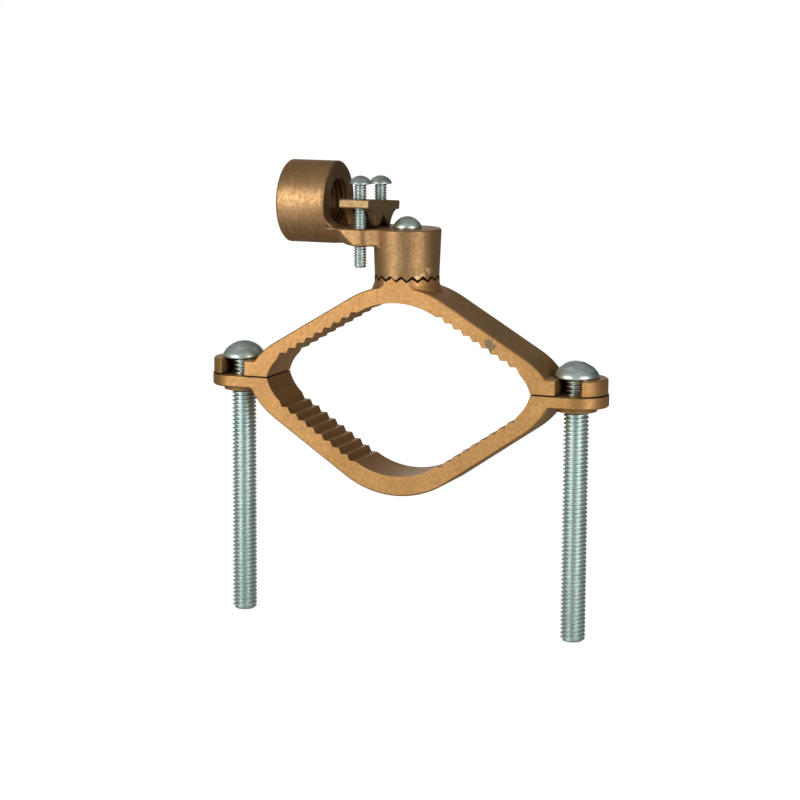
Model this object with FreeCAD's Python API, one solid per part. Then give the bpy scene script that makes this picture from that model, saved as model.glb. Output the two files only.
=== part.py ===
import FreeCAD, Part
import math
import os

# Earthing pipe clamp: two toothed bronze jaws drawn together by two long
# screws, with a conduit hub that turns on face teeth and a saddle for the wire.
# Millimetres. X runs along the clamp, Y from front to back, Z up. The origin
# is half way between the clamp screws, on the plane where the jaws meet.

# Jaws
jaw_depth = 22.8
corner_x = 53.9
upper_outer_top = 38.1
upper_outer_peak = 44.3
upper_outer_slope = 31.0
upper_inner_top = 31.7
upper_inner_peak = 36.6
upper_inner_slope = 30.3
lower_outer_bottom = 42.6
lower_outer_peak = 50.3
lower_outer_slope = 34.3
lower_inner_bottom = 35.1
lower_inner_peak = 41.3
lower_inner_slope = 33.9
edge_bevel = 0.5
arm_bend_x = 51.0
corner_bend_x = 47.0

# Gripping teeth inside the jaws
tooth_pitch = 4.3
tooth_count = 9
tooth_depth = 1.3
upper_tooth_end_x = 47.5
lower_tooth_end_x = 46.8

# Ears
screw_x = 68.6
upper_ear_thickness = 5.9
upper_ear_root_x = 59.4
lower_ear_thickness = 4.6
lower_ear_root_x = 60.8
ear_end_offset = 0.5
lower_ear_extra = 0.4
ear_root_round = 1.2
ear_overlap = 1.6
slot_clearance = 0.8
pad_radius = 8.2
pad_height = 1.9
pad_taper = 0.4
jaw_gap = 0.3

# Clamp screws, 3/8-16 by 4 in
clamp_screw_diameter = 9.525
clamp_screw_length = 101.6
clamp_head_diameter = 17.0
clamp_head_height = 6.4
clamp_head_rim = 0.9
clamp_slot_width = 2.4
clamp_slot_depth = 3.4
clamp_tip_chamfer = 1.0

# Bands that make up the dome of each screw head
dome_bands = 3

# Fits
thread_clearance = 0.05
seat_gap = 0.02

# Face teeth between the hub and the upper jaw
face_teeth = 18
face_tooth_depth = 1.6
face_gap = 0.5
crown_radius = 12.5
crown_height = 1.6
crown_neck_rise = 0.5
crown_foot_drop = 2.8
crown_flare = 1.4

# Hub
post_top_z = 59.4
post_top_radius = 13.1
post_bottom_radius = 12.4
platform_thickness = 6.5
platform_half_width = 14.3
platform_root_x = -24.5
platform_wide_x = -16.0
platform_waist_x = -7.0
platform_side_round = 5.0
platform_overlap = 1.0
underside_flare = 1.4
barrel_radius = 15.9
barrel_bore_radius = 9.45
barrel_face_x = -28.4
barrel_length = 19.7
barrel_axis_height = 8.9
barrel_edge_bevel = 0.6
barrel_root_round = 5.0

# Hub screw, 1/4-20 by 1 in
hub_screw_diameter = 6.35
hub_screw_length = 25.4
hub_screw_clearance = 0.3
hub_head_diameter = 11.0
hub_head_height = 4.5
hub_head_rim = 0.6
hub_slot_width = 1.8
hub_slot_depth = 2.3
hub_tip_chamfer = 0.7

# Wire saddle and its screws, 10-24 by 1 1/4 in
saddle_x = -15.2
saddle_width = 11.7
saddle_offset = -0.35
saddle_length = 32.8
saddle_height = 9.7
saddle_lug_thickness = 3.4
saddle_foot_width = 14.0
saddle_neck_width = 27.0
saddle_tilt = 4.6
saddle_end_round = 0.6
groove_width = 8.4
groove_height = 5.2
saddle_screw_y = 10.4
saddle_screw_diameter = 4.826
saddle_screw_length = 31.75
saddle_hole_clearance = 0.45
saddle_head_diameter = 8.7
saddle_head_height = 3.2
saddle_head_rim = 0.4
saddle_slot_width = 1.2
saddle_slot_depth = 1.6
saddle_tip_chamfer = 0.5
front_screw_standoff = 17.0
back_screw_standoff = 15.7

# Way each screw slot points, in degrees from X
left_slot_turn = 16.0
right_slot_turn = 24.0
hub_slot_turn = 18.0
front_slot_turn = 20.0
back_slot_turn = 100.0

UP = FreeCAD.Vector(0, 0, 1)
ALONG_Y = FreeCAD.Vector(0, 1, 0)
ALONG_X = FreeCAD.Vector(1, 0, 0)
half_depth = jaw_depth / 2.0
clamp_screw_radius = clamp_screw_diameter / 2.0
slot_half = clamp_screw_radius + slot_clearance / 2.0


def at(x, y, z):
    return FreeCAD.Vector(x, y, z)


def cylinder(radius, height, base, direction=UP):
    return Part.makeCylinder(radius, height, base, direction)


def box(x0, x1, y0, y1, z0, z1):
    return Part.makeBox(x1 - x0, y1 - y0, z1 - z0, at(x0, y0, z0))


def prism(wire, vector):
    return Part.Face(wire).extrude(vector)


def arc(a, b, c):
    return Part.Arc(a, b, c).toShape()


def circle_mid(a, b, radius, side):
    # point on the arc of the given radius from a to b, bulging to one side
    chord = b.sub(a)
    half = chord.Length / 2.0
    sag = radius - math.sqrt(radius * radius - half * half)
    across = FreeCAD.Vector(-chord.z, 0, chord.x).normalize()
    return a.add(b).multiply(0.5).add(across.multiply(side * sag))


def peak_arc(peak, top, slope):
    # radius and end point of the round that joins the two straight arms
    angle = math.radians(slope)
    radius = (peak - top) / (1.0 / math.cos(angle) - 1.0)
    return radius, radius * math.sin(angle)


def half_outline(peak, top, slope, bend_x, end):
    # right half of an arm outline, from the middle out to the end point
    radius, join_x = peak_arc(peak, top, slope)
    tangent = math.tan(math.radians(slope))
    middle = at(0, 0, top)
    join = at(join_x, 0, peak - tangent * join_x)
    bend = at(bend_x, 0, peak - tangent * bend_x)
    # the last stretch leaves the straight arm without a kink
    chord = end.sub(bend)
    lead = at(math.cos(math.radians(slope)), 0, -math.sin(math.radians(slope)))
    half_angle = math.acos(chord.dot(lead) / chord.Length)
    bend_radius = chord.Length / (2.0 * math.sin(half_angle))
    round_mid = circle_mid(middle, join, radius, 1)
    bend_mid = circle_mid(bend, end, bend_radius, 1)
    return [
        arc(middle, round_mid, join),
        Part.LineSegment(join, bend).toShape(),
        arc(bend, bend_mid, end),
    ]


def mirrored_edges(edges):
    flipped = []
    for edge in edges:
        flipped.append(edge.mirror(at(0, 0, 0), ALONG_X))
    return flipped


def outline_block(edges, end, depth):
    # solid between an outline and the parting plane, centred on Y
    floor_right = at(end.x, 0, 0)
    floor_left = at(-end.x, 0, 0)
    sides = [
        Part.LineSegment(end, floor_right).toShape(),
        Part.LineSegment(floor_right, floor_left).toShape(),
        Part.LineSegment(floor_left, at(-end.x, 0, end.z)).toShape(),
    ]
    wire = Part.Wire(Part.__sortEdges__(edges + mirrored_edges(edges) + sides))
    block = prism(wire, at(0, depth, 0))
    block.translate(at(0, -depth / 2.0, 0))
    return block


def pipe_space(peak, top, slope, tooth_end_x):
    # the room inside one jaw, with the notches between the teeth
    corner = at(corner_x, 0, 0)
    edges = half_outline(peak, top, slope, corner_bend_x, corner)
    wire = Part.Wire(Part.__sortEdges__(edges + mirrored_edges(edges) + [
        Part.LineSegment(corner, at(-corner_x, 0, 0)).toShape(),
    ]))
    room = prism(wire, at(0, jaw_depth + 4, 0))
    room.translate(at(0, -half_depth - 2, 0))
    angle = math.radians(slope)
    along = at(math.cos(angle), 0, -math.sin(angle))
    outward = at(math.sin(angle), 0, math.cos(angle))
    notches = []
    for number in range(tooth_count):
        x = tooth_end_x - number * tooth_pitch * math.cos(angle)
        foot = at(x, 0, peak - math.tan(angle) * x)
        root = foot.add(outward * tooth_depth)
        below = foot.sub(outward * tooth_depth)
        first = below.sub(along * tooth_pitch)
        second = below.add(along * tooth_pitch)
        notch = Part.Wire(Part.makePolygon([first, root, second, first]))
        cut = prism(notch, at(0, jaw_depth + 4, 0))
        cut.translate(at(0, -half_depth - 2, 0))
        notches.append(cut)
        notches.append(cut.mirror(at(0, 0, 0), ALONG_X))
    return room.fuse(notches)


def long_edges(shape, keep):
    # edges of a shape picked by a test on their middle point
    found = []
    for edge in shape.Edges:
        middle = edge.valueAt((edge.FirstParameter + edge.LastParameter) / 2.0)
        if keep(edge, middle):
            found.append(edge)
    return found


def ear(centre_x, inner_x, thickness):
    # flat tab with a round end, standing on the parting plane
    corner_a = at(inner_x, -half_depth, 0)
    corner_b = at(centre_x, -half_depth, 0)
    corner_c = at(centre_x, half_depth, 0)
    corner_d = at(inner_x, half_depth, 0)
    wire = Part.Wire([
        Part.LineSegment(corner_a, corner_b).toShape(),
        arc(corner_b, at(centre_x + half_depth, 0, 0), corner_c),
        Part.LineSegment(corner_c, corner_d).toShape(),
        Part.LineSegment(corner_d, corner_a).toShape(),
    ])
    return prism(wire, at(0, 0, thickness))


def jaw_block(edges, end, ear_centre):
    # arm block with both ears, the sharp outer edges taken off
    thickness = end.z
    right_ear = ear(ear_centre, corner_x + ear_overlap, thickness)
    left_ear = right_ear.mirror(at(0, 0, 0), ALONG_X)
    block = outline_block(edges, end, jaw_depth).fuse([right_ear, left_ear]).removeSplitter()

    def root(edge, middle):
        at_root = abs(middle.z - thickness) < 0.01 and abs(abs(middle.x) - end.x) < 0.01
        return at_root and abs(middle.y) < 0.01

    block = block.makeFillet(ear_root_round, long_edges(block, root)).Solids[0]

    def rim(edge, middle):
        above = middle.z > thickness - 0.01
        across = abs(middle.y) < 0.01 and edge.Length > jaw_depth - 0.01 and abs(middle.x) < end.x + 5.0
        return above and not across

    return block.makeChamfer(edge_bevel, long_edges(block, rim)).Solids[0]


def face_tooth_cutter(radius, valley_z, height):
    # one wedge that cuts a valley running out from the middle of a ring
    half = math.pi / face_teeth
    reach = radius / math.cos(half)
    top = valley_z + height
    rise = height
    left = at(reach * math.cos(half), -reach * math.sin(half), top)
    right = at(reach * math.cos(half), reach * math.sin(half), top)
    low = at(reach * math.cos(half), 0, valley_z)
    apex = at(0, 0, top)
    lift = at(0, 0, rise)
    faces = [
        Part.Face(Part.makePolygon([apex, left, low, apex])),
        Part.Face(Part.makePolygon([apex, low, right, apex])),
        Part.Face(Part.makePolygon([left, low, right, right.add(lift), left.add(lift), left])),
        Part.Face(Part.makePolygon([apex, left, left.add(lift), apex.add(lift), apex])),
        Part.Face(Part.makePolygon([apex, right, right.add(lift), apex.add(lift), apex])),
        Part.Face(Part.makePolygon([apex.add(lift), left.add(lift), right.add(lift), apex.add(lift)])),
    ]
    return Part.Solid(Part.Shell(faces))


def face_tooth_ring(radius, valley_z):
    # ring top with radial teeth, from the valleys up to the crests
    height = face_tooth_depth
    blank = cylinder(radius, height, at(0, 0, valley_z))
    cutters = []
    for number in range(face_teeth):
        wedge = face_tooth_cutter(radius, valley_z, height)
        wedge.rotate(at(0, 0, 0), UP, -90.0 + number * 360.0 / face_teeth)
        cutters.append(wedge)
    return blank.cut(cutters)


def crown_boss(valley_z):
    # round boss under the face teeth, flush with the jaw's faces in front and
    # behind and flaring out along the arms at the sides
    neck_z = upper_outer_top + crown_neck_rise
    foot_z = upper_outer_top - crown_foot_drop
    neck = cylinder(crown_radius, valley_z - neck_z, at(0, 0, neck_z))
    flare = Part.makeCone(
        crown_radius + crown_flare, crown_radius, neck_z - foot_z, at(0, 0, foot_z), UP
    )
    boss = face_tooth_ring(crown_radius, valley_z).fuse([neck, flare])
    depth = box(
        -2.0 * crown_radius, 2.0 * crown_radius, -half_depth, half_depth, 0, valley_z + face_tooth_depth
    )
    return boss.common(depth)


def upper_jaw():
    end = at(upper_ear_root_x, 0, upper_ear_thickness)
    edges = half_outline(upper_outer_peak, upper_outer_top, upper_outer_slope, arm_bend_x, end)
    room = pipe_space(upper_inner_peak, upper_inner_top, upper_inner_slope, upper_tooth_end_x)
    body = jaw_block(edges, end, screw_x + ear_end_offset).cut(room)
    valley_z = upper_outer_top + crown_height
    crown = crown_boss(valley_z)
    body = body.fuse(crown)
    tapped = cylinder(
        hub_screw_diameter / 2.0 + thread_clearance, upper_outer_top, at(0, 0, upper_inner_top - 2.0)
    )
    body = body.cut(tapped)
    for side in (-1, 1):
        x = side * screw_x
        slot = box(
            x - slot_half, x + slot_half, -half_depth - 1.0, 0, -1.0, upper_ear_thickness + 1.0
        )
        end_round = cylinder(slot_half, upper_ear_thickness + 2.0, at(x, 0, -1.0))
        body = body.cut(slot.fuse(end_round))
    return body.removeSplitter()


def lower_jaw():
    # built upward, then turned over so that it hangs below the parting plane
    end = at(lower_ear_root_x, 0, lower_ear_thickness)
    edges = half_outline(lower_outer_peak, lower_outer_bottom, lower_outer_slope, arm_bend_x, end)
    room = pipe_space(lower_inner_peak, lower_inner_bottom, lower_inner_slope, lower_tooth_end_x)
    body = jaw_block(edges, end, screw_x + ear_end_offset + lower_ear_extra).cut(room)
    for side in (-1, 1):
        pad = Part.makeCone(
            pad_radius, pad_radius - pad_taper, pad_height, at(side * screw_x, 0, lower_ear_thickness), UP
        )
        body = body.fuse(pad)
    for side in (-1, 1):
        tapped = cylinder(
            clamp_screw_radius + thread_clearance,
            lower_ear_thickness + pad_height + 2.0,
            at(side * screw_x, 0, -1.0),
        )
        body = body.cut(tapped)
    body = body.removeSplitter()
    body.rotate(at(0, 0, 0), ALONG_X, 180)
    body.translate(at(0, 0, -jaw_gap))
    return body


def round_head_screw(
    diameter, length, chamfer, head_diameter, head_height, rim, slot_width, slot_depth
):
    # head seated at the origin, shank pointing down
    radius = diameter / 2.0
    head_radius = head_diameter / 2.0
    dome = head_height - rim
    # the dome is part of a ball, turned from a few straight bands
    ball_radius = (head_radius * head_radius + dome * dome) / (2.0 * dome)
    ball_z = head_height - ball_radius
    rim_angle = math.atan2(rim - ball_z, head_radius)
    profile = [at(0, 0, 0), at(head_radius, 0, 0)]
    for number in range(dome_bands + 1):
        angle = rim_angle + (math.pi / 2.0 - rim_angle) * number / dome_bands
        profile.append(at(ball_radius * math.cos(angle), 0, ball_z + ball_radius * math.sin(angle)))
    profile[-1].x = 0
    profile.append(profile[0])
    head = Part.Face(Part.makePolygon(profile)).revolve(at(0, 0, 0), UP, 360)
    slot = box(
        -head_diameter, head_diameter, -slot_width / 2.0, slot_width / 2.0,
        head_height - slot_depth, head_height + 1.0,
    )
    head = head.cut(slot)
    shank = cylinder(radius, length - chamfer, at(0, 0, chamfer - length))
    tip = Part.makeCone(radius - chamfer, radius, chamfer, at(0, 0, -length), UP)
    return head.fuse([shank, tip]).removeSplitter()


def clamp_screw(side, slot_turn):
    screw = round_head_screw(
        clamp_screw_diameter, clamp_screw_length, clamp_tip_chamfer, clamp_head_diameter,
        clamp_head_height, clamp_head_rim, clamp_slot_width, clamp_slot_depth,
    )
    screw.rotate(at(0, 0, 0), UP, slot_turn)
    screw.translate(at(side * screw_x, 0, upper_ear_thickness + seat_gap))
    return screw


def hub_screw():
    screw = round_head_screw(
        hub_screw_diameter, hub_screw_length, hub_tip_chamfer, hub_head_diameter,
        hub_head_height, hub_head_rim, hub_slot_width, hub_slot_depth,
    )
    screw.rotate(at(0, 0, 0), UP, hub_slot_turn)
    screw.translate(at(0, 0, post_top_z + seat_gap))
    return screw


def saddle_screw(side, standoff, slot_turn):
    screw = round_head_screw(
        saddle_screw_diameter, saddle_screw_length, saddle_tip_chamfer, saddle_head_diameter,
        saddle_head_height, saddle_head_rim, saddle_slot_width, saddle_slot_depth,
    )
    screw.rotate(at(0, 0, 0), UP, slot_turn)
    screw.translate(at(saddle_x, side * saddle_screw_y, post_top_z + standoff))
    return screw


def platform_reach(axis_z):
    # room the platform may fill: no wider than the barrel beside it, then
    # flaring out to the platform's full section
    start_x = barrel_face_x - platform_overlap
    bottom_drop = axis_z - post_top_z + platform_thickness
    wide_radius = math.hypot(platform_half_width, bottom_drop)
    stem = cylinder(barrel_radius, platform_root_x - start_x, at(start_x, 0, axis_z), ALONG_X)
    flare = Part.makeCone(
        barrel_radius, wide_radius, platform_wide_x - platform_root_x, at(platform_root_x, 0, axis_z), ALONG_X
    )
    beyond = box(
        platform_wide_x, 0, -2.0 * platform_half_width, 2.0 * platform_half_width,
        post_top_z - 2.0 * platform_thickness, post_top_z + platform_thickness,
    )
    return stem.fuse([flare, beyond])


def platform(axis_z):
    # flat tongue from the barrel to the post, widest beside the saddle screws
    # and drawn in to a waist where it meets the post
    start_x = barrel_face_x - platform_overlap
    shoulder_x = saddle_x + saddle_screw_diameter / 2.0
    waist_y = math.sqrt(post_bottom_radius ** 2 - platform_waist_x ** 2)
    points = [
        at(start_x, -platform_half_width, 0),
        at(shoulder_x, -platform_half_width, 0),
        at(platform_waist_x, -waist_y, 0),
        at(platform_waist_x, waist_y, 0),
        at(shoulder_x, platform_half_width, 0),
        at(start_x, platform_half_width, 0),
        at(start_x, -platform_half_width, 0),
    ]
    outline = prism(Part.makePolygon(points), at(0, 0, platform_thickness))

    def shoulder(edge, middle):
        return abs(middle.x - shoulder_x) < 0.01 and abs(middle.z - platform_thickness / 2.0) < 0.01

    outline = outline.makeFillet(platform_side_round, long_edges(outline, shoulder)).Solids[0]

    def rim(edge, middle):
        level = abs(edge.Vertexes[0].Z - edge.Vertexes[-1].Z) < 0.01
        return level and abs(middle.y) > 0.01

    slab = outline.makeChamfer(edge_bevel, long_edges(outline, rim)).Solids[0]
    slab.translate(at(0, 0, post_top_z - platform_thickness))
    slab = slab.common(platform_reach(axis_z))
    # the corner under the platform is eased where the post starts
    flare = Part.makeCone(
        post_bottom_radius, post_bottom_radius + 2.0 * underside_flare, 2.0 * underside_flare,
        at(0, 0, post_top_z - platform_thickness - underside_flare), UP,
    )
    outline.translate(at(0, 0, post_top_z - platform_thickness - underside_flare))
    return slab.fuse(flare.common(outline))


def barrel_root(axis_z):
    # hollow round in the corner between the barrel and the top of the platform
    corner = at(barrel_face_x - 0.5, -barrel_radius, post_top_z - 0.5)
    foot = at(barrel_face_x + barrel_root_round, -barrel_radius, post_top_z)
    rise = at(barrel_face_x, -barrel_radius, post_top_z + barrel_root_round)
    belly = barrel_root_round * (1.0 - math.sqrt(0.5))
    middle = at(barrel_face_x + belly, -barrel_radius, post_top_z + belly)
    wire = Part.Wire([
        Part.makePolygon([rise, at(corner.x, corner.y, rise.z), corner, at(foot.x, foot.y, corner.z), foot]),
        arc(foot, middle, rise),
    ])
    bar = prism(wire, at(0, 2.0 * barrel_radius, 0))
    keep = cylinder(
        barrel_radius - barrel_edge_bevel, barrel_length, at(barrel_face_x - 1.0, 0, axis_z), ALONG_X
    )
    return bar.common(keep)


def hub():
    valley_z = upper_outer_top + crown_height
    teeth_top = valley_z + face_tooth_depth + face_gap
    post = Part.makeCone(
        post_bottom_radius, post_top_radius, post_top_z - teeth_top, at(0, 0, teeth_top), UP
    )

    def post_rim(edge, middle):
        return abs(middle.z - post_top_z) < 0.01

    post = post.makeChamfer(edge_bevel, long_edges(post, post_rim)).Solids[0]
    axis_z = post_top_z + barrel_axis_height
    barrel = cylinder(
        barrel_radius, barrel_length, at(barrel_face_x - barrel_length, 0, axis_z), ALONG_X
    )

    def barrel_rim(edge, middle):
        return edge.Curve.TypeId == "Part::GeomCircle"

    barrel = barrel.makeChamfer(barrel_edge_bevel, long_edges(barrel, barrel_rim)).Solids[0]
    body = platform(axis_z).fuse([barrel, barrel_root(axis_z), post])
    # the lower ring of teeth is the upper jaw's ring, pressed into a blank
    blank = cylinder(post_bottom_radius, face_tooth_depth, at(0, 0, valley_z + face_gap))
    lower = face_tooth_ring(crown_radius, valley_z + face_gap)
    body = body.fuse(blank.cut(lower))
    bore = cylinder(
        barrel_bore_radius, barrel_length + 2.0 * barrel_root_round,
        at(barrel_face_x - barrel_length - barrel_root_round, 0, axis_z), ALONG_X,
    )
    body = body.cut(bore)
    screw_way = cylinder(
        hub_screw_diameter / 2.0 + hub_screw_clearance, post_top_z, at(0, 0, upper_outer_top - 2.0)
    )
    body = body.cut(screw_way)
    for side in (-1, 1):
        tapped = cylinder(
            saddle_screw_diameter / 2.0 + thread_clearance, platform_thickness + 4.0,
            at(saddle_x, side * saddle_screw_y, post_top_z - platform_thickness - 2.0),
        )
        body = body.cut(tapped)
    return body.removeSplitter()


def wire_saddle():
    # profile across Y, pushed along X, with a wire groove under the middle
    half_length = saddle_length / 2.0
    half_foot = saddle_foot_width / 2.0
    half_neck = saddle_neck_width / 2.0
    half_groove = groove_width / 2.0
    lug_z = saddle_height - saddle_lug_thickness
    waist_y = half_foot + (half_neck - half_foot) * 0.3
    waist_z = lug_z * 0.55
    # the casting sits a little toward the barrel of its two holes
    x0 = saddle_offset - saddle_width / 2.0
    right_flank = arc(
        at(x0, half_foot, 0), at(x0, waist_y, waist_z), at(x0, half_neck, lug_z)
    )
    left_flank = right_flank.mirror(at(0, 0, 0), ALONG_Y)
    path = [
        at(x0, half_neck, lug_z),
        at(x0, half_length, lug_z),
        at(x0, half_length, saddle_height),
        at(x0, -half_length, saddle_height),
        at(x0, -half_length, lug_z),
        at(x0, -half_neck, lug_z),
    ]
    under = [
        at(x0, -half_foot, 0),
        at(x0, -half_groove, 0),
        at(x0, 0, groove_height),
        at(x0, half_groove, 0),
        at(x0, half_foot, 0),
    ]
    edges = [right_flank, left_flank]
    for line in (path, under):
        for start, stop in zip(line, line[1:]):
            edges.append(Part.LineSegment(start, stop).toShape())
    wire = Part.Wire(Part.__sortEdges__(edges))
    body = prism(wire, at(saddle_width, 0, 0))

    def lug_corner(edge, middle):
        on_end = abs(abs(middle.y) - half_length) < 0.01
        return on_end and abs(middle.x - saddle_offset) < 0.01

    body = body.makeFillet(saddle_end_round, long_edges(body, lug_corner)).Solids[0]
    for side in (-1, 1):
        hole = cylinder(
            saddle_screw_diameter / 2.0 + saddle_hole_clearance, saddle_height + 4.0,
            at(0, side * saddle_screw_y, -2.0),
        )
        body = body.cut(hole)
    # the saddle rests on its back foot, leaning up a little at the front, and is
    # slid forward so that its leaning holes stay centred on the screws
    body.rotate(at(0, half_foot, 0), ALONG_X, -saddle_tilt)
    hole_middle = (waist_z + saddle_height) / 2.0
    slide = hole_middle * math.sin(math.radians(saddle_tilt))
    body.translate(at(saddle_x, -slide, post_top_z + seat_gap))
    return body


os.makedirs("parts", exist_ok=True)
upper_jaw().exportStep("parts/upper_jaw.step")
lower_jaw().exportStep("parts/lower_jaw.step")
clamp_screw(-1, left_slot_turn).exportStep("parts/left_clamp_screw.step")
clamp_screw(1, right_slot_turn).exportStep("parts/right_clamp_screw.step")
hub().exportStep("parts/hub.step")
hub_screw().exportStep("parts/hub_screw.step")
wire_saddle().exportStep("parts/wire_saddle.step")
saddle_screw(-1, front_screw_standoff, front_slot_turn).exportStep("parts/front_saddle_screw.step")
saddle_screw(1, back_screw_standoff, back_slot_turn).exportStep("parts/back_saddle_screw.step")
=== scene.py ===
import math

import bmesh
import bpy
from mathutils import Matrix, Vector


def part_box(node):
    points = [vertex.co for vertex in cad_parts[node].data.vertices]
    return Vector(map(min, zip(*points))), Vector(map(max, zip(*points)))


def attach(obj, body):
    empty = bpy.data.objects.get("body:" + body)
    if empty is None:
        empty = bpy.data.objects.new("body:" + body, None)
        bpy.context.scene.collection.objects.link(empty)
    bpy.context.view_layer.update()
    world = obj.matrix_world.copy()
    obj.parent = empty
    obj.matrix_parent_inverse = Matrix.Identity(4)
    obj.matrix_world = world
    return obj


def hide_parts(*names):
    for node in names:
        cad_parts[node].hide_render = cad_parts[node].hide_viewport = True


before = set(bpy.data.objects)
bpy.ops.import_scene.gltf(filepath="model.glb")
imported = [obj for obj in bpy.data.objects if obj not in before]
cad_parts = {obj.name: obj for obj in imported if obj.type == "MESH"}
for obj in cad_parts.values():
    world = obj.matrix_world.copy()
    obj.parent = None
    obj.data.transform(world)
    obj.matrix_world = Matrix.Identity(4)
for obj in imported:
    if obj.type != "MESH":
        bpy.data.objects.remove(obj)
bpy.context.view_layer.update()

MM = 0.001
INCH = 25.4 * MM

# Camera: the photograph's viewing angle, in degrees, metres and pixels of an
# 800 x 800 picture.
PICTURE_SIZE = 800
VIEW_AZIMUTH = 21.12
VIEW_ELEVATION = 9.30
VIEW_ROLL = 0.35
VIEW_DISTANCE = 1.000
VIEW_FOCAL_PIXELS = 2589.0
VIEW_AIM = Vector((-0.00262, 0.0, -0.00735))
VIEW_CLIP = (0.01, 20.0)
SENSOR_WIDTH = 36.0

# Threads: a blunt rolled profile, as (share of the pitch, share of the depth)
THREAD_PROFILE = ((0.0, 0.0), (0.11, 0.0), (0.38, 1.0), (0.62, 1.0), (0.89, 0.0))
THREAD_STEPS = 44

# Screw sizes, as on the CAD nodes that they replace. "thread" is the thread's
# depth in pitches, "turn" the direction of the slot in degrees, "level" and
# "dull" the zinc's brightness and added roughness.
CLAMP_SCREW = dict(
    diameter=9.525 * MM, length=101.6 * MM, tip=1.0 * MM,
    head=17.0 * MM, height=6.4 * MM, rim=0.9 * MM, slot=2.4 * MM, slot_depth=3.4 * MM,
    pitch=INCH / 16, thread=0.56, level=1.0, dull=0.0,
)
HUB_SCREW = dict(
    diameter=6.35 * MM, length=25.4 * MM, tip=0.7 * MM,
    head=11.0 * MM, height=4.5 * MM, rim=0.6 * MM, slot=1.8 * MM, slot_depth=2.3 * MM,
    pitch=INCH / 20, thread=0.56, level=1.0, dull=0.0,
)
# the saddle screws' lower level is painted shade, for the barrel's shadow on them
SADDLE_SCREW = dict(
    diameter=4.826 * MM, length=31.75 * MM, tip=0.5 * MM,
    head=8.7 * MM, height=3.2 * MM, rim=0.4 * MM, slot=1.2 * MM, slot_depth=1.6 * MM,
    pitch=INCH / 24, thread=0.42, level=0.74, dull=0.10,
)
SCREWS = {
    "left_clamp_screw": dict(CLAMP_SCREW, turn=16.0),
    "right_clamp_screw": dict(CLAMP_SCREW, turn=24.0),
    "hub_screw": dict(HUB_SCREW, turn=18.0),
    "front_saddle_screw": dict(SADDLE_SCREW, turn=20.0),
    "back_saddle_screw": dict(SADDLE_SCREW, turn=32.0),
}
HEAD_STEPS = 64
DOME_BANDS = 14
THREAD_INTO_HEAD = 0.1 * MM
SLOT_EDGE_BEVEL = 0.12 * MM
SLOT_EDGE_ANGLE = math.radians(50.0)
SMOOTH_ANGLE = math.radians(32.0)
WELD_DISTANCE = 1e-7

# Conduit thread inside the hub
HUB_THREAD_PITCH = INCH / 14
HUB_BORE_RADIUS = 9.45 * MM
HUB_THREAD_BED = 0.05 * MM
HUB_THREAD_CREST = 8.85 * MM
HUB_THREAD_LEAD_IN = 0.9
HUB_BARREL_LENGTH = 19.7 * MM
HUB_AXIS_BELOW_TOP = 15.9 * MM

# Face teeth between the hub and the upper jaw
FACE_TEETH = 18
FACE_TOOTH_DEPTH = 1.6 * MM
FACE_TOOTH_RADIUS = 12.7 * MM
FACE_GAP = 0.5 * MM

# Bronze: ramp stops of its skin from dark to light, and its other colours
MASK_SAMPLES = 6
BRONZE_SKIN = (
    (0.34, (0.52, 0.281, 0.101)),
    (0.50, (0.59, 0.328, 0.123)),
    (0.66, (0.66, 0.376, 0.150)),
)
BRONZE_PATCHES = ((0.35, (0.88, 0.85, 0.82)), (0.65, (1.04, 1.02, 1.0)))
# painted shade: ramp stops that darken the bronze in corners and recesses, where walls stand near
BRONZE_PAINTED_SHADE = (
    (0.06, (0.03, 0.025, 0.02)),
    (0.30, (0.24, 0.20, 0.18)),
    (0.85, (1.0, 1.0, 1.0)),
)
BRONZE_WORN = (0.86, 0.58, 0.27)
# painted shade on the barrel's right-facing ring face
RING_FACE_PAINTED_SHADE = (0.62, 0.62, 0.62)
# painted shade along the gap between the face teeth
TOOTH_GAP_PAINTED_SHADE = (0.012, 0.010, 0.008)
# painted shade along the gap between the jaws
SEAM_PAINTED_SHADE = (0.03, 0.02, 0.015)

# Zinc plate, with a faint blue-green cast
ZINC_SKIN = ((0.35, (0.79, 0.94, 0.90)), (0.65, (0.88, 0.99, 0.95)))
# painted shade: ramp stops that darken the zinc in narrow corners
ZINC_PAINTED_SHADE = ((0.25, (0.74, 0.80, 0.80)), (0.70, (1.0, 1.0, 1.0)))
ZINC_TARNISH = ((0.38, (0.70, 0.69, 0.64)), (0.60, (1.12, 1.12, 1.08)))

# Marks on the castings, as seen in the photograph
BURR = tuple(
    dict(place=place, radius=radius, colour=(0.95, 0.64, 0.32), strength=0.8, lift=5.0)
    for place, radius in (
        ((7.8 * MM, -9.9 * MM, 41.4 * MM), 1.5 * MM),
        ((9.9 * MM, -8.1 * MM, 42.6 * MM), 1.7 * MM),
        ((11.3 * MM, -5.7 * MM, 43.9 * MM), 1.8 * MM),
    )
)
STAIN = dict(
    place=(37.5 * MM, -12.8 * MM, 17.7 * MM), radius=2.8 * MM,
    colour=(0.15, 0.14, 0.09), strength=0.75, lift=0.0,
)
PIT = dict(
    place=(66.0 * MM, -12.8 * MM, -2.9 * MM), radius=0.7 * MM,
    colour=(0.12, 0.08, 0.05), strength=0.7, lift=-1.0,
)

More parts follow.
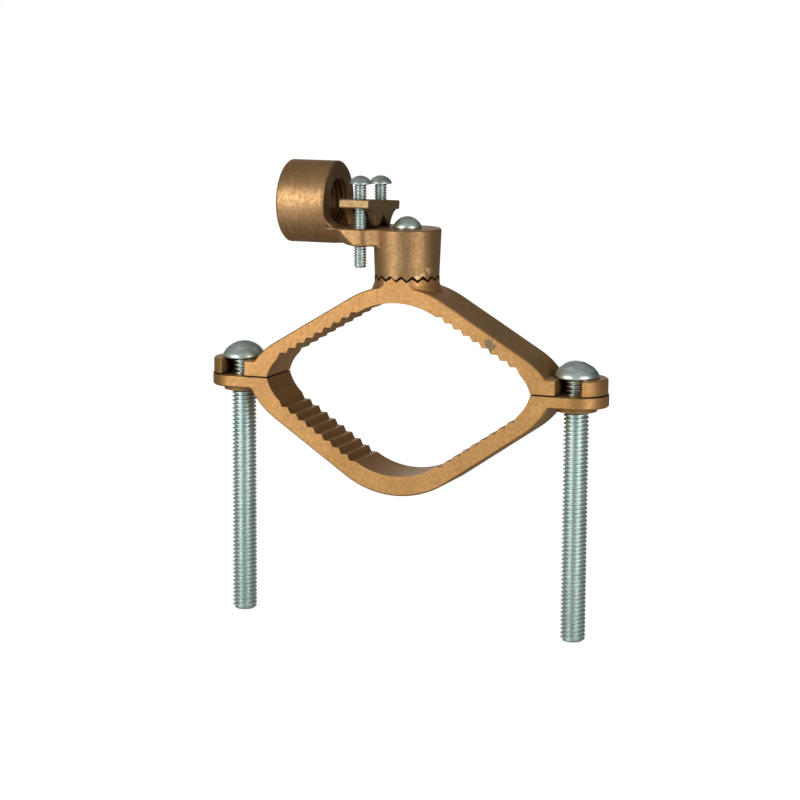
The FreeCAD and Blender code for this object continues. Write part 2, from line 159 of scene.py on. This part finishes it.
# Studio light. A glow lies in a direction, and fades in between two cosines of
# the angle to it. The world's are for what it lights, the floor's for what
# metal sees of the floor where the two lamps stand.
BACKDROP = ((-0.42, 0.90, -0.05), 0.86, 0.97)
LEFT_GLOW = ((-0.85, -0.45, 0.10), -0.1, 1.0)
TOP_GLOW = ((0.0, -0.2, 1.0), 0.15, 0.80)
LEFT_GLOW_LEVEL = 0.10
TOP_GLOW_LEVEL = 0.20
BASE_LEVEL = 0.035
FLOOR_LEFT_GLOW = ((-0.45, -0.89, 0.0), 0.75, 0.97)
FLOOR_RIGHT_GLOW = ((0.83, -0.55, 0.0), 0.75, 0.97)
FLOOR_BASE_LEVEL = 0.05
FLOOR_HALF = 3.0
FLOOR_PALE = (0.40, 0.40, 0.40, 1.0)
FLOOR_CLEARANCE = 0.5 * MM
JAW_OPENING = 85.0 * MM
SOFTBOXES = (
    ("left_softbox", (-0.640, -1.108, 0.300), (0.50, 0.72), 7.8),
    ("right_softbox", (1.080, -0.680, 0.300), (0.44, 0.72), 6.8),
)


# Shader nodes

def new_tree(owner):
    owner.use_nodes = True
    tree = owner.node_tree
    tree.nodes.clear()
    return tree


def add_node(tree, kind, settings=None, **inputs):
    # a node with its settings, and its inputs linked or given a value
    node = tree.nodes.new(kind)
    for name, value in (settings or {}).items():
        setattr(node, name, value)
    for name, value in inputs.items():
        numbered = name[0] == "i" and name[1:].isdigit()
        key = int(name[1:]) if numbered else name.replace("_", " ")
        if isinstance(value, bpy.types.NodeSocket):
            tree.links.new(value, node.inputs[key])
        else:
            node.inputs[key].default_value = value
    return node


def noise(tree, coords, scale, detail=4.0, roughness=0.55):
    node = add_node(
        tree, "ShaderNodeTexNoise", Vector=coords, Scale=scale, Detail=detail, Roughness=roughness
    )
    return node.outputs["Fac"]


def ramp(tree, fac, stops):
    # stops are (place, colour or grey level)
    node = add_node(tree, "ShaderNodeValToRGB", Fac=fac)
    elements = node.color_ramp.elements
    while len(elements) < len(stops):
        elements.new(0.5)
    for element, (place, colour) in zip(elements, stops):
        element.position = place
        element.color = (*(colour if isinstance(colour, tuple) else (colour,) * 3), 1.0)
    return node.outputs["Color"]


def tinted(stops, tint):
    return tuple((place, tuple(t * c for t, c in zip(tint, colour))) for place, colour in stops)


def mix(tree, fac, first, second, blend="MIX"):
    node = tree.nodes.new("ShaderNodeMix")
    node.data_type = "RGBA"
    node.blend_type = blend
    for index, value in ((0, fac), (6, first), (7, second)):
        if isinstance(value, bpy.types.NodeSocket):
            tree.links.new(value, node.inputs[index])
        elif isinstance(value, tuple):
            node.inputs[index].default_value = (*value, 1.0)
        else:
            node.inputs[index].default_value = value
    return node.outputs[2]


def shaded(tree, skin, shade, share=1.0):
    # the skin multiplied by a shade
    return mix(tree, share, skin, shade, "MULTIPLY")


def maths(tree, operation, first, second=0.0, clamp=False):
    node = add_node(
        tree, "ShaderNodeMath", dict(operation=operation, use_clamp=clamp), i0=first, i1=second
    )
    return node.outputs[0]


def times(tree, first, second):
    return maths(tree, "MULTIPLY", first, second)


def inverse(tree, value):
    return maths(tree, "SUBTRACT", 1.0, value)


def distance(tree, first, second):
    return maths(tree, "ABSOLUTE", maths(tree, "SUBTRACT", first, second))


def vector_maths(tree, operation, *values):
    inputs = {"i%d" % index: value for index, value in enumerate(values)}
    return add_node(tree, "ShaderNodeVectorMath", dict(operation=operation), **inputs).outputs


def split(tree, vector):
    # the vector's X, Y and Z
    return add_node(tree, "ShaderNodeSeparateXYZ", Vector=vector).outputs


def spread(tree, value, low, high):
    # 0 below low, 1 above high, smooth between them
    node = add_node(tree, "ShaderNodeMapRange", dict(interpolation_type="SMOOTHSTEP"), Value=value)
    node.inputs["From Min"].default_value = low
    node.inputs["From Max"].default_value = high
    return node.outputs["Result"]


def object_coords(tree):
    return add_node(tree, "ShaderNodeTexCoord").outputs["Object"]


def openness(tree, reach):
    # 1 in the open, less where walls stand within reach
    node = add_node(
        tree, "ShaderNodeAmbientOcclusion", dict(samples=MASK_SAMPLES), Distance=reach
    )
    return node.outputs["AO"]


def rounded_normal(tree, radius):
    # the normal that the shape would have with its edges rounded
    node = add_node(tree, "ShaderNodeBevel", dict(samples=MASK_SAMPLES), Radius=radius)
    return node.outputs["Normal"]


def glow(tree, way, patch):
    # 1 where the way points into the patch, 0 far from it
    direction, low, high = patch
    lean = vector_maths(tree, "DOT_PRODUCT", way, Vector(direction).normalized())["Value"]
    return spread(tree, lean, low, high)


def seen_level(tree, path, in_metal):
    # 1 for the camera, in_metal for reflected and transmitted rays, else 0
    mirrored = maths(tree, "MAXIMUM", path["Is Glossy Ray"], path["Is Transmission Ray"])
    return maths(tree, "MAXIMUM", path["Is Camera Ray"], times(tree, mirrored, in_metal))


# Masks on the castings

def edge_mask(tree, radius):
    # about 1 on outer and inner edges of the shape, 0 on its flats
    plain = add_node(tree, "ShaderNodeNewGeometry").outputs["Normal"]
    same = vector_maths(tree, "DOT_PRODUCT", rounded_normal(tree, radius), plain)["Value"]
    return maths(tree, "MULTIPLY", inverse(tree, same), 6.0, True)


def spot_mask(tree, coords, wobble, spot):
    # about 1 inside an uneven round spot on the casting, 0 outside it
    radius = spot["radius"]
    offset = times(tree, maths(tree, "SUBTRACT", wobble, 0.5), 2.4 * radius)
    away = vector_maths(tree, "DISTANCE", coords, Vector(spot["place"]))["Value"]
    away = maths(tree, "ADD", away, offset)
    return inverse(tree, spread(tree, away, 0.75 * radius, radius))


def tooth_line_mask(tree, coords, wobble, top):
    # about 1 along the parting line of the face teeth under the hub, where painted shade stands
    # for the gap's shadow
    place = split(tree, coords)
    x, y, z = (place[axis] for axis in "XYZ")
    angle = maths(tree, "ARCTAN2", y, x)
    # counted from the front, with a whole turn added to keep it above 0
    angle = maths(tree, "ADD", angle, 2.5 * math.pi)
    turns = maths(tree, "DIVIDE", angle, 2.0 * math.pi / FACE_TEETH)
    rise = times(tree, maths(tree, "PINGPONG", turns, 0.5), 2.0)
    radius = maths(tree, "SQRT", maths(tree, "ADD", times(tree, x, x), times(tree, y, y)))
    depth = times(tree, radius, FACE_TOOTH_DEPTH / FACE_TOOTH_RADIUS)
    line = maths(tree, "SUBTRACT", top, times(tree, depth, inverse(tree, rise)))
    ragged = times(tree, maths(tree, "SUBTRACT", wobble, 0.5), 1.0 * MM)
    away = maths(tree, "ADD", distance(tree, z, line), ragged)
    near = inverse(tree, spread(tree, away, 0.42 * MM, 0.62 * MM))
    on_post = inverse(tree, spread(tree, radius, 14.0 * MM, 14.5 * MM))
    return times(tree, near, on_post)


# Materials

def turned_skin(tree, coords, facing, skin):
    # painted shade on the ring face at the mouth of the bore, which faces away from the lamps, and
    # streaks round the barrel
    on_barrel = inverse(tree, spread(tree, split(tree, coords)["X"], -6.0 * MM, -4.0 * MM))
    # painted shade, chosen by the direction that the face looks
    ring = times(tree, spread(tree, facing["X"], 0.80, 0.95), on_barrel)
    skin = mix(tree, ring, skin, shaded(tree, skin, RING_FACE_PAINTED_SHADE))
    round_barrel = vector_maths(tree, "MULTIPLY", coords, Vector((1.0, 0.10, 0.10)))["Vector"]
    streaks = noise(tree, round_barrel, 900.0, 4.0, 0.6)
    return shaded(tree, skin, ramp(tree, streaks, ((0.36, 0.84), (0.60, 1.06))), 0.8)


def bronze(name, tint=(1.0, 1.0, 1.0), soft_edge=0.35 * MM, turned=False, spots=(),
           tooth_line=None, seam=None):
    # as-cast bronze: satin skin, brighter worn edges, painted shade in the corners
    material = bpy.data.materials.new(name)
    tree = new_tree(material)
    coords = object_coords(tree)
    facing = split(tree, add_node(tree, "ShaderNodeTexCoord").outputs["Normal"])
    wall = inverse(tree, spread(tree, maths(tree, "ABSOLUTE", facing["Z"]), 0.30, 0.50))
    mottle = noise(tree, coords, 700.0, 5.0, 0.6)
    grain = noise(tree, coords, 2600.0, 4.0, 0.6)
    skin = ramp(tree, mottle, tinted(BRONZE_SKIN, tint))
    skin = shaded(tree, skin, ramp(tree, noise(tree, coords, 70.0), BRONZE_PATCHES))
    if turned:
        skin = turned_skin(tree, coords, facing, skin)
    skin = shaded(tree, skin, ramp(tree, grain, ((0.32, 0.55), (0.42, 1.0))), 0.35)
    skin = mix(tree, times(tree, edge_mask(tree, 0.5 * MM), 0.30), skin, BRONZE_WORN)
    # painted shade, darker where walls stand within 4 mm
    skin = shaded(tree, skin, ramp(tree, openness(tree, 4.0 * MM), BRONZE_PAINTED_SHADE))
    rough = ramp(tree, mottle, ((0.3, 0.52), (0.7, 0.42)))
    height = maths(tree, "ADD", times(tree, mottle, 0.6), times(tree, grain, 0.4))
    ragged = noise(tree, coords, 380.0, 3.0)
    for spot in spots:
        mask = spot_mask(tree, coords, ragged, spot)
        skin = mix(tree, times(tree, mask, spot["strength"]), skin, spot["colour"])
        height = maths(tree, "ADD", height, times(tree, mask, spot["lift"]))
    # painted shade along the tooth gap, on the walls only
    if tooth_line is not None:
        mask = times(tree, wall, tooth_line_mask(tree, coords, mottle, tooth_line))
        skin = mix(tree, mask, skin, TOOTH_GAP_PAINTED_SHADE)
    # painted shade along the gap between the jaws, on the walls only
    if seam is not None:
        away = distance(tree, split(tree, coords)["Z"], seam)
        mask = maths(tree, "SUBTRACT", 0.9, spread(tree, away, 0.25 * MM, 0.50 * MM), True)
        skin = mix(tree, times(tree, wall, mask), skin, SEAM_PAINTED_SHADE)
    bump = add_node(
        tree, "ShaderNodeBump", Strength=0.40, Distance=0.12 * MM, Height=height,
        Normal=rounded_normal(tree, soft_edge),
    )
    shader = add_node(
        tree, "ShaderNodeBsdfPrincipled",
        Base_Color=skin, Metallic=0.85, Roughness=rough, Specular_IOR_Level=0.25,
        Normal=bump.outputs["Normal"],
    )
    add_node(tree, "ShaderNodeOutputMaterial", Surface=shader.outputs["BSDF"])
    return material


def zinc(name, seat, level, dull):
    # bright zinc plate; cloudier and a little duller on the head, above the seat; painted shade in
    # corners and recesses
    material = bpy.data.materials.new(name)
    tree = new_tree(material)
    coords = object_coords(tree)
    grain = noise(tree, coords, 2200.0, 4.0, 0.6)
    on_head = spread(tree, split(tree, coords)["Z"], seat, seat + 0.2 * MM)
    skin = ramp(tree, noise(tree, coords, 120.0), tinted(ZINC_SKIN, (level,) * 3))
    # painted shade, darker in narrow corners and where walls stand near, as in the slots
    skin = shaded(tree, skin, ramp(tree, openness(tree, 0.9 * MM), ZINC_PAINTED_SHADE))
    skin = shaded(tree, skin, ramp(tree, openness(tree, 7.0 * MM), ((0.15, 0.40), (0.55, 1.0))))
    brushed = vector_maths(tree, "MULTIPLY", coords, Vector((0.5, 0.5, 1.6)))["Vector"]
    tarnish = ramp(tree, noise(tree, brushed, 330.0, 5.0, 0.6), ZINC_TARNISH)
    skin = mix(tree, on_head, skin, shaded(tree, skin, tarnish))
    rough = ramp(tree, grain, ((0.3, 0.36 + dull), (0.7, 0.30 + dull)))
    rough = maths(tree, "ADD", rough, times(tree, on_head, 0.03))
    bump = add_node(tree, "ShaderNodeBump", Strength=0.12, Distance=0.03 * MM, Height=grain)
    shader = add_node(
        tree, "ShaderNodeBsdfPrincipled",
        Base_Color=skin, Metallic=0.95, Roughness=rough, Normal=bump.outputs["Normal"],
    )
    add_node(tree, "ShaderNodeOutputMaterial", Surface=shader.outputs["BSDF"])
    return material


# Shapes

def add_object(name, data):
    thing = bpy.data.objects.new(name, data)
    bpy.context.scene.collection.objects.link(thing)
    return thing


def shape_to_mesh(shape, name):
    mesh = bpy.data.meshes.new(name)
    shape.to_mesh(mesh)
    shape.free()
    return mesh


def add_thread(shape, pitch, start, stop, radius_at, inside=False):
    # a right-hand helical thread about Z; radius_at(height, rise) gives each point
    turns = math.ceil((stop - start) / pitch) + 2
    columns = len(THREAD_PROFILE)
    rows = []
    for step in range(THREAD_STEPS):
        share = step / THREAD_STEPS
        angle = 2.0 * math.pi * share
        row = []
        for index in range(turns * columns + 1):
            along, rise = THREAD_PROFILE[index % columns]
            height = start + pitch * (index // columns + along + share - 1.0)
            height = max(start, min(stop, height))
            radius = radius_at(height, rise)
            point = (radius * math.cos(angle), radius * math.sin(angle), height)
            row.append(shape.verts.new(point))
        rows.append(row)
    for step, here in enumerate(rows):
        # the last row meets the first one a pitch further on
        last = step == THREAD_STEPS - 1
        there = rows[0] if last else rows[step + 1]
        shift = columns if last else 0
        for index in range(len(here) - 1 - shift):
            near, far = index + shift, index + 1 + shift
            corners = (here[index], there[near], there[far], here[index + 1])
            shape.faces.new(corners[::-1] if inside else corners)


def finish_shape(shape, name, material):
    # turns the edited shape into an object with smooth rounds and crisp edges
    bmesh.ops.remove_doubles(shape, verts=shape.verts, dist=WELD_DISTANCE)
    bmesh.ops.dissolve_degenerate(shape, dist=WELD_DISTANCE, edges=shape.edges)
    mesh = shape_to_mesh(shape, name)
    for polygon in mesh.polygons:
        polygon.use_smooth = True
    mesh.set_sharp_from_angle(angle=SMOOTH_ANGLE)
    mesh.materials.append(material)
    return add_object(name, mesh)


def lathe(shape, profile, steps):
    # turns (radius, height) points about Z into a closed skin
    rings = []
    for radius, height in profile:
        if radius < 1e-9:
            rings.append([shape.verts.new((0.0, 0.0, height))] * steps)
            continue
        rings.append([
            shape.verts.new((
                radius * math.cos(2.0 * math.pi * step / steps),
                radius * math.sin(2.0 * math.pi * step / steps), height,
            ))
            for step in range(steps)
        ])
    for low, high in zip(rings, rings[1:]):
        for step in range(steps):
            after = (step + 1) % steps
            corners = []
            for corner in (low[step], low[after], high[after], high[step]):
                if corner not in corners:
                    corners.append(corner)
            if len(corners) > 2:
                shape.faces.new(corners)


def head_profile(size):
    # underside, small rounded rim and dome
    radius = size["head"] / 2.0
    dome = size["height"] - size["rim"]
    ball = (radius * radius + dome * dome) / (2.0 * dome)
    ball_z = size["height"] - ball
    rim_angle = math.atan2(size["rim"] - ball_z, radius)
    lip = size["rim"] * 0.35
    profile = [(0.0, 0.0), (radius - lip, 0.0), (radius - 0.3 * lip, 0.3 * lip), (radius, lip)]
    for band in range(DOME_BANDS + 1):
        angle = rim_angle + (math.pi / 2.0 - rim_angle) * band / DOME_BANDS
        out = 0.0 if band == DOME_BANDS else ball * math.cos(angle)
        profile.append((out, ball_z + ball * math.sin(angle)))
    return profile


def slotted_head(size):
    # the head's mesh, with its slot cut and the slot's edges eased
    shape = bmesh.new()
    lathe(shape, head_profile(size), HEAD_STEPS)
    head = add_object("head", shape_to_mesh(shape, "head"))
    shape = bmesh.new()
    bmesh.ops.create_cube(shape, size=1.0)
    bottom = size["height"] - size["slot_depth"]
    top = size["height"] + size["slot_depth"]
    extent = (size["head"] * 1.5, size["slot"], top - bottom)
    bmesh.ops.scale(shape, vec=extent, verts=shape.verts)
    bmesh.ops.translate(shape, vec=(0.0, 0.0, (top + bottom) / 2.0), verts=shape.verts)
    cutter = add_object("slot_cutter", shape_to_mesh(shape, "slot_cutter"))
    cut = head.modifiers.new("slot", "BOOLEAN")
    cut.operation = "DIFFERENCE"
    cut.object = cutter
    cut.solver = "EXACT"
    ease = head.modifiers.new("ease", "BEVEL")
    ease.width = SLOT_EDGE_BEVEL
    ease.segments = 2
    ease.limit_method = "ANGLE"
    ease.angle_limit = SLOT_EDGE_ANGLE
    bpy.context.view_layer.update()
    dressed = head.evaluated_get(bpy.context.evaluated_depsgraph_get())
    result = bpy.data.meshes.new_from_object(dressed)
    bpy.data.objects.remove(head)
    bpy.data.objects.remove(cutter)
    return result


def screw(node, size):
    # a threaded, slotted screw in the place of the plain CAD one
    low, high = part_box(node)
    seat = low[2] + size["length"]
    crest = size["diameter"] / 2.0
    depth = size["thread"] * size["pitch"]
    tip_radius = crest - size["tip"]

    def radius_at(height, rise):
        chamfer = tip_radius + (height + size["length"])
        return min(crest - depth * (1.0 - rise), chamfer)

    shape = bmesh.new()
    head = slotted_head(size)
    shape.from_mesh(head)
    bpy.data.meshes.remove(head)
    add_thread(shape, size["pitch"], -size["length"], THREAD_INTO_HEAD, radius_at)
    lathe(shape, [(0.0, -size["length"]), (tip_radius, -size["length"])], THREAD_STEPS)
    place = Vector(((low[0] + high[0]) / 2.0, (low[1] + high[1]) / 2.0, seat))
    turn = Matrix.Rotation(math.radians(size["turn"]), 4, "Z")
    bmesh.ops.transform(shape, matrix=Matrix.Translation(place) @ turn, verts=shape.verts)
    material = zinc("zinc_" + node, seat, size["level"], size["dull"])
    piece = finish_shape(shape, node + "_threaded", material)
    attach(piece, node)
    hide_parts(node)


def hub_thread():
    # conduit thread lining the hub's bore
    low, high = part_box("hub")
    mouth = Vector((low[0], 0.0, high[2] - HUB_AXIS_BELOW_TOP))
    wall = HUB_BORE_RADIUS + HUB_THREAD_BED

    def radius_at(height, rise):
        inset = min(height, HUB_BARREL_LENGTH - height)
        lead_in = wall - inset * HUB_THREAD_LEAD_IN
        return max(wall - (wall - HUB_THREAD_CREST) * rise, lead_in)

    shape = bmesh.new()
    add_thread(shape, HUB_THREAD_PITCH, 0.0, HUB_BARREL_LENGTH, radius_at, inside=True)
    along_x = Matrix.Rotation(math.radians(90.0), 4, "Y")
    bmesh.ops.transform(shape, matrix=Matrix.Translation(mouth) @ along_x, verts=shape.verts)
    # the darker tint is painted shade inside the bore
    material = bronze("cast_bronze_thread_painted_shade", (0.42, 0.40, 0.40))
    piece = finish_shape(shape, "hub_conduit_thread", material)
    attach(piece, "hub")


# Surroundings

def studio_world():
    # white behind the object; dimmer to the right and above for what it lights
    world = bpy.data.worlds.new("studio")
    bpy.context.scene.world = world
    tree = new_tree(world)
    way = add_node(tree, "ShaderNodeTexCoord").outputs["Generated"]
    path = add_node(tree, "ShaderNodeLightPath").outputs
    seen = seen_level(tree, path, glow(tree, way, BACKDROP))
    left = times(tree, glow(tree, way, LEFT_GLOW), LEFT_GLOW_LEVEL)
    above = times(tree, glow(tree, way, TOP_GLOW), TOP_GLOW_LEVEL)
    ambient = maths(tree, "ADD", above, maths(tree, "ADD", left, BASE_LEVEL))
    colour = mix(tree, seen, ambient, (1.0, 1.0, 1.0))
    light = add_node(tree, "ShaderNodeBackground", Color=colour, Strength=1.0)
    add_node(tree, "ShaderNodeOutputWorld", Surface=light.outputs["Background"])


def floor():
    # pale floor, low enough for the opened jaw; white to the camera, with the shadow kept
    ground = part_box("lower_jaw")[0][2] - JAW_OPENING - FLOOR_CLEARANCE
    corners = [
        (x * FLOOR_HALF, y * FLOOR_HALF, ground)
        for x, y in ((-1.0, -1.0), (1.0, -1.0), (1.0, 1.0), (-1.0, 1.0))
    ]
    mesh = bpy.data.meshes.new("floor")
    mesh.from_pydata(corners, [], [(0, 1, 2, 3)])
    plane = add_object("floor", mesh)
    material = bpy.data.materials.new("floor_white")
    tree = new_tree(material)
    place = object_coords(tree)
    away = vector_maths(tree, "LENGTH", place)["Value"]
    heading = vector_maths(tree, "NORMALIZE", place)["Vector"]
    left = glow(tree, heading, FLOOR_LEFT_GLOW)
    right = glow(tree, heading, FLOOR_RIGHT_GLOW)
    lit = maths(tree, "ADD", left, right, True)
    bounce = times(tree, ramp(tree, away, ((0.45, 0.62), (0.85, 0.14))), lit)
    bounce = maths(tree, "ADD", bounce, FLOOR_BASE_LEVEL)
    path = add_node(tree, "ShaderNodeLightPath").outputs
    white = ramp(tree, away, ((0.15, 0.87), (0.60, 1.0)))
    strength = times(tree, seen_level(tree, path, bounce), white)
    matte = add_node(tree, "ShaderNodeBsdfDiffuse", Color=FLOOR_PALE)
    lift = add_node(tree, "ShaderNodeEmission", Color=(1.0, 1.0, 1.0, 1.0), Strength=strength)
    both = add_node(
        tree, "ShaderNodeAddShader", i0=matte.outputs["BSDF"], i1=lift.outputs["Emission"]
    )
    add_node(tree, "ShaderNodeOutputMaterial", Surface=both.outputs["Shader"])
    mesh.materials.append(material)


def softbox(name, place, size, power):
    # a lamp that faces the origin
    lamp = bpy.data.lights.new(name, "AREA")
    lamp.shape = "RECTANGLE"
    lamp.size, lamp.size_y = size
    lamp.energy = power
    holder = add_object(name, lamp)
    holder.location = place
    holder.rotation_euler = Vector(place).to_track_quat("Z", "Y").to_euler()


def camera():
    azimuth = math.radians(VIEW_AZIMUTH)
    elevation = math.radians(VIEW_ELEVATION)
    roll = math.radians(VIEW_ROLL)
    back = Vector((
        math.sin(azimuth) * math.cos(elevation),
        -math.cos(azimuth) * math.cos(elevation), math.sin(elevation),
    ))
    level = Vector((math.cos(azimuth), math.sin(azimuth), 0.0))
    upright = back.cross(level)
    across = level * math.cos(roll) + upright * math.sin(roll)
    up = upright * math.cos(roll) - level * math.sin(roll)
    lens = bpy.data.cameras.new("camera")
    lens.sensor_width = SENSOR_WIDTH
    lens.lens = VIEW_FOCAL_PIXELS * SENSOR_WIDTH / PICTURE_SIZE
    lens.clip_start, lens.clip_end = VIEW_CLIP
    turn = Matrix((across, up, back)).transposed().to_4x4()
    holder = add_object("camera", lens)
    holder.matrix_world = Matrix.Translation(VIEW_AIM + back * VIEW_DISTANCE) @ turn
    bpy.context.scene.camera = holder


# The dressed part

upper_low, upper_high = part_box("upper_jaw")
lower_low, lower_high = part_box("lower_jaw")
tooth_tops = upper_high[2] + FACE_GAP / 2.0
seam = (upper_low[2] + lower_high[2]) / 2.0
castings = {
    "upper_jaw": bronze("cast_bronze_upper", spots=(STAIN,), tooth_line=tooth_tops, seam=seam),
    "lower_jaw": bronze("cast_bronze_lower", spots=(PIT,), seam=seam),
    "wire_saddle": bronze("cast_bronze_saddle", (0.66, 0.80, 1.00)),
    "hub": bronze(
        "cast_bronze_hub", (0.86, 0.94, 1.14), 1.0 * MM,
        turned=True, spots=BURR, tooth_line=tooth_tops,
    ),
}
for node, material in castings.items():
    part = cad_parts[node]
    part.data.materials.clear()
    part.data.materials.append(material)
for node, size in SCREWS.items():
    screw(node, size)
hub_thread()

floor()
studio_world()
for lamp in SOFTBOXES:
    softbox(*lamp)
camera()
bpy.context.scene.view_settings.view_transform = "Standard"
